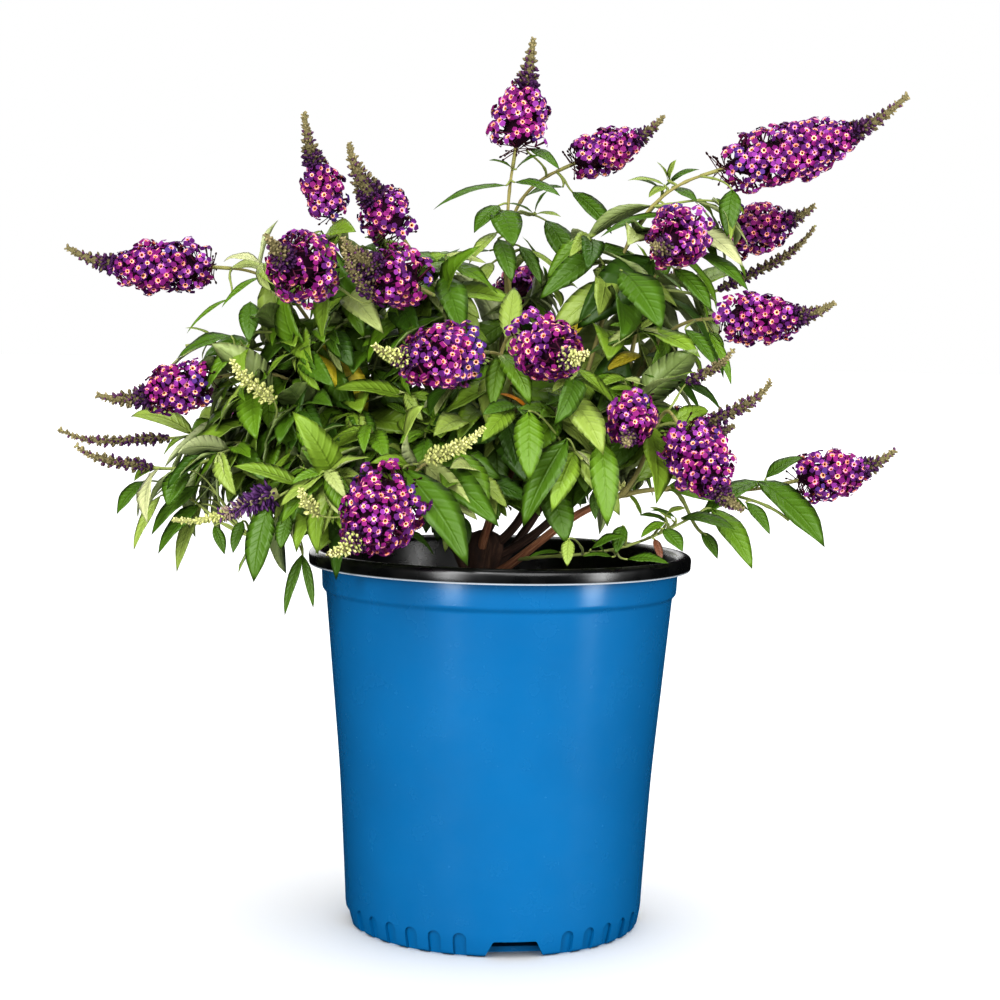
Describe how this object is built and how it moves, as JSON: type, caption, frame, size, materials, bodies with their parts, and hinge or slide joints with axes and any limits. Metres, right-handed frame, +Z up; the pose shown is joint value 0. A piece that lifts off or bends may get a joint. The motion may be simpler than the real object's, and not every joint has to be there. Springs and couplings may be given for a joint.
{
  "type": "potted butterfly bush",
  "caption": "Flowering butterfly bush with arching leafy shoots and purple flower spikes, growing in a round plastic nursery pot that stands on its flat underside.",
  "frame": {"origin": "centre of the pot's flat underside, where it stands on the ground", "axes": "+Z up through the pot's axis, -Y towards the side that the plant shows best, +X to the right of that view"},
  "size_m": [0.5027, 0.3854, 0.5303],
  "materials": {
    "pot": "satin moulded polypropylene, mid blue",
    "pot_rim": "glossy black moulded polypropylene",
    "potting_mix": "dark crumbly bark and peat mix",
    "bark": "red-brown bark that peels in strips",
    "foliage": "mid green leaves with grey-green felted undersides",
    "blossom": "magenta-purple florets with orange eyes and grey-green bud tips"
  },
  "bodies": {
    "root": {"bough_back": "bark", "bough_back_left": "bark", "bough_back_right": "bark", "bough_crown_left": "bark", "bough_crown_right": "bark", "bough_front": "bark", "bough_left": "bark", "bough_left_front": "bark", "bough_right": "bark", "bough_right_front": "bark", "bough_top": "bark", "flower_back_left_high": "blossom", "flower_back_left_low": "blossom", "flower_back_left_mid": "blossom", "flower_back_mid": "blossom", "flower_back_right_high": "blossom", "flower_back_right_mid": "blossom", "flower_back_top": "blossom", "flower_crown_left": "blossom", "flower_crown_left_front": "blossom", "flower_front_left_low": "blossom", "flower_front_mid": "blossom", "flower_front_right_mid": "blossom", "flower_left_front_high": "blossom", "flower_left_low": "blossom", "flower_left_mid": "blossom", "flower_left_spire": "blossom", "flower_left_top": "blossom", "flower_right_high": "blossom", "flower_right_inner": "blossom", "flower_right_low": "blossom", "flower_right_low_front": "blossom", "flower_right_low_inner": "blossom", "flower_right_mid": "blossom", "flower_right_top": "blossom", "flower_top": "blossom", "flower_top_right": "blossom", "foliage_back": "foliage", "foliage_back_left": "foliage", "foliage_back_right": "foliage", "foliage_back_right_low": "foliage", "foliage_crown_left": "foliage", "foliage_crown_right": "foliage", "foliage_front": "foliage", "foliage_front_left": "foliage", "foliage_front_right": "foliage", "foliage_left_crown": "foliage", "foliage_left_high": "foliage", "foliage_left_low": "foliage", "foliage_left_mid": "foliage", "foliage_right_front": "foliage", "foliage_right_high": "foliage", "foliage_right_low": "foliage", "foliage_right_mid": "foliage", "foliage_top": "foliage", "foliage_top_back": "foliage", "pot": "pot", "pot_rim": "pot_rim", "soil": "potting_mix", "trunk": "bark"}
  },
  "joints": []
}
